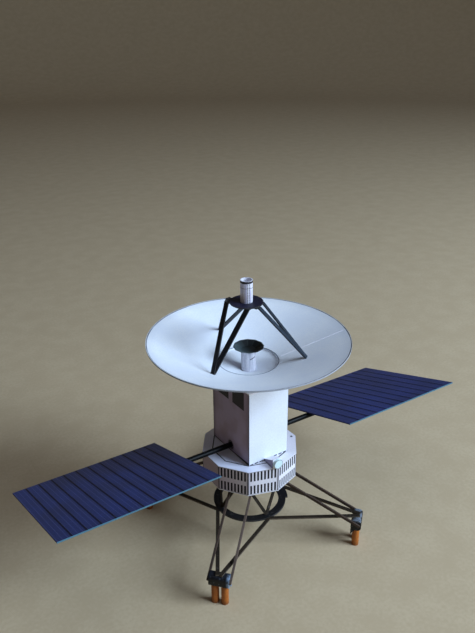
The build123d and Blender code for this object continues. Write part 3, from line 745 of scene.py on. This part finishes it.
# Dish: the dark cut edge where the outer cone ends, a little proud of the card
dishCircle = {"Sides": 96, "Radius": innerRadius + 0.1 * mm, "Width": 0.24 * mm, "Thick": 0.18 * mm}
cutInk = cutEdgeLitAndShaded()
circleTree = ringLine("dishCircle", dishCircle, cutInk)
tipped = dishTurn.to_matrix().to_4x4()
ground = onDish(rimCentre + outward * dishCircle["Radius"])
tipped.translation = rimCentre + dishUp * (ground - rimCentre).dot(dishUp)
placed("dish_circle", grow("dishCircle", circleTree, dishCircle), tipped, cutInk, "craft")
print("printed lines done")

# Nozzles: eight rolls of paper, stood on the nozzle places by Geometry Nodes
roll = {"bore": 0.6, "turns": 3.3, "gap": 0.02, "steps": 26}


def paperRoll(height, outer):
    # one roll: a spiral strip of paper, drawn as a closed outline and raised to the nozzle's height
    count = int(roll["turns"] * roll["steps"])
    wall = (outer - roll["bore"]) / roll["turns"]
    shape = bmesh.new()
    rows = {"lowOut": [], "lowIn": [], "highOut": [], "highIn": []}
    for k in range(count + 1):
        part = k / count
        angle = part * roll["turns"] * fullTurn
        ray = Vector((math.cos(angle), math.sin(angle), 0)) * mm
        radius = roll["bore"] + wall + part * (outer - roll["bore"] - wall)
        for side, reach in (("Out", radius), ("In", radius - wall + roll["gap"])):
            rows["low" + side].append(shape.verts.new(ray * reach))
            rows["high" + side].append(shape.verts.new(ray * reach + skyward * height))
    lowOut, lowIn, highOut, highIn = rows.values()
    for k in range(count):
        shape.faces.new((lowOut[k], lowOut[k + 1], highOut[k + 1], highOut[k]))
        shape.faces.new((lowIn[k + 1], lowIn[k], highIn[k], highIn[k + 1]))
        shape.faces.new((highOut[k], highOut[k + 1], highIn[k + 1], highIn[k]))
        shape.faces.new((lowOut[k + 1], lowOut[k], lowIn[k], lowIn[k + 1]))
    shape.faces.new((lowOut[0], highOut[0], highIn[0], lowIn[0]))
    shape.faces.new((lowOut[-1], lowIn[-1], highIn[-1], highOut[-1]))
    mesh = bpy.data.meshes.new("paperRoll")
    shape.to_mesh(mesh)
    shape.free()
    return mesh


def standOnPoints(name, sizes, source, material):
    # copies of one object on the points of a mesh, each turned by a seeded angle
    tree, given = startTree(name, sizes)
    info = addNode(tree, "GeometryNodeObjectInfo", {"Object": source, "As Instance": True})
    angle = addNode(tree, "FunctionNodeRandomValue", {2: 0.0, 3: given["Most turn"], "Seed": given["Seed"]},
                    data_type="FLOAT")
    turn = addNode(tree, "ShaderNodeCombineXYZ", {2: angle})
    copies = addNode(tree, "GeometryNodeInstanceOnPoints", {"Points": given["Geometry"],
                                                            "Instance": info.outputs["Geometry"],
                                                            "Rotation": turn})
    return endTree(tree, copies, material)


footBand = 0.1 * mm  # corners this near the floor are on a nozzle's foot


def nozzleFeet(name):
    # the centre and radius of each of a node's two nozzles, from its lowest points
    corners = [co for co in cornersOf(name) if co.z < footBand]
    centre = sum(corners, Vector()) / len(corners)
    along = Vector((-centre.y, centre.x, 0)).normalized()
    feet = []
    for side in (-1, 1):
        own = [co for co in corners if (co - centre).dot(along) * side > 0]
        foot = sum(own, Vector()) / len(own)
        feet.append((foot, max((co - foot).length for co in own)))
    return feet


nozzleNames = [name for name in nodes if name.startswith("nozzles_")]
nozzleMaterial = nozzlePaper()
nozzleRadius = nozzleFeet(nozzleNames[0])[0][1]
rollObject = bpy.data.objects.new("rollSource", paperRoll(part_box(nozzleNames[0])[1].z, nozzleRadius / mm))
standing = {"Most turn": fullTurn, "Seed": 11}
standTree = standOnPoints("nozzleRolls", standing, rollObject, nozzleMaterial)
for name in nozzleNames:
    nodes[name].data.materials.clear()
    nodes[name].data.materials.append(nozzleMaterial)
    spots = bpy.data.meshes.new(name)
    spots.from_pydata([(foot.x, foot.y, 0) for foot, radius in nozzleFeet(name)], [], [])
    rolls = grow(name + "_rolls", standTree, standing, spots)
    piece = placed(name.replace("nozzles", "paper_rolls"), rolls, asMade, nozzleMaterial, "craft")
    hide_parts(name)
bpy.data.objects.remove(rollObject)
print("paper rolls done")


# Stage: plain pale floor that turns up into a far wall all round
stage = {"flat": 1600 * mm, "bend": 700 * mm, "height": 2400 * mm, "sides": 96, "steps": 12}
floorPaper = {"roughness": 0.85, "fibre": 1.5, "depth": 0.01, "ground": ("C6B292", "BEA989")}
outline = [(stage["flat"], 0.0)]
for k in range(1, stage["steps"] + 1):
    lean = math.radians(90 * k / stage["steps"])
    outline.append((stage["flat"] + stage["bend"] * math.sin(lean), stage["bend"] * (1 - math.cos(lean))))
outline.append((outline[-1][0], stage["height"]))
sides = stage["sides"]
floorPoints, floorFaces = [(0.0, 0.0, 0.0)], []
for reach, height in outline:
    for k in range(sides):
        angle = fullTurn * k / sides
        floorPoints.append((reach * math.cos(angle), reach * math.sin(angle), height))
for k in range(sides):
    after = (k + 1) % sides
    floorFaces.append((0, 1 + k, 1 + after))
    for row in range(len(outline) - 1):
        lower, upper = 1 + row * sides, 1 + (row + 1) * sides
        floorFaces.append((lower + k, upper + k, upper + after, lower + after))
floorMesh = bpy.data.meshes.new("floor")
floorMesh.from_pydata(floorPoints, [], floorFaces)
for polygon in floorMesh.polygons:
    polygon.use_smooth = True
floor = bpy.data.objects.new("floor", floorMesh)
bpy.context.scene.collection.objects.link(floor)
floorMesh.materials.append(plainPaper("paleFloor", floorPaper))

# Light: a large soft cool key from the front right of the photograph, a weak one above, and a weak warm surround
lamps = {
    "key": {"from": (0.60, -0.77, 0.63), "size": 0.6, "power": 20.8, "colour": "D0E7FF"},
    "top": {"from": (0.0, -0.1, 1.2), "size": 1.0, "power": 1.7, "colour": "DDEBFF"},
}
surround = {"colour": "EADDEA", "strength": 0.06}
lampAim = Vector((0, 0, 0.05))
for name, look in lamps.items():
    lamp = bpy.data.lights.new(name, "AREA")
    lamp.size = look["size"]
    lamp.energy = look["power"]
    lamp.color = hexColour(look["colour"])[:3]
    holder = bpy.data.objects.new(name, lamp)
    holder.location = look["from"]
    holder.rotation_euler = (lampAim - Vector(look["from"])).to_track_quat("-Z", "Y").to_euler()
    bpy.context.scene.collection.objects.link(holder)
world = bpy.data.worlds.new("studio")
bpy.context.scene.world = world
world.use_nodes = True
world.node_tree.nodes["Background"].inputs[0].default_value = hexColour(surround["colour"])
world.node_tree.nodes["Background"].inputs[1].default_value = surround["strength"]

# Camera, as fitted to the photograph
photoCamera = {"place": (-133.43, -195.95, 202.46), "azimuth": -33.129, "elevation": 23.843, "roll": -0.403,
               "focalPixels": 685.99, "imageHeight": 633}
azimuth, elevation, tilt = (math.radians(photoCamera[k]) for k in ("azimuth", "elevation", "roll"))
back = Vector((math.sin(azimuth) * math.cos(elevation), -math.cos(azimuth) * math.cos(elevation),
               math.sin(elevation)))
right = skyward.cross(back).normalized()
up = back.cross(right)
right, up = right * math.cos(tilt) + up * math.sin(tilt), up * math.cos(tilt) - right * math.sin(tilt)
lens = bpy.data.cameras.new("camera")
lens.sensor_width = 36.0
lens.lens = lens.sensor_width * photoCamera["focalPixels"] / photoCamera["imageHeight"]
lens.clip_start, lens.clip_end = 0.01, 100.0
camera = bpy.data.objects.new("camera", lens)
stance = Matrix((right, up, back)).transposed().to_4x4()
stance.translation = Vector(photoCamera["place"]) * mm
camera.matrix_world = stance
bpy.context.scene.collection.objects.link(camera)
bpy.context.scene.camera = camera
bpy.context.scene.view_settings.view_transform = "Standard"  # printed colours as they are, with no film curve
print("stage, light and camera done")
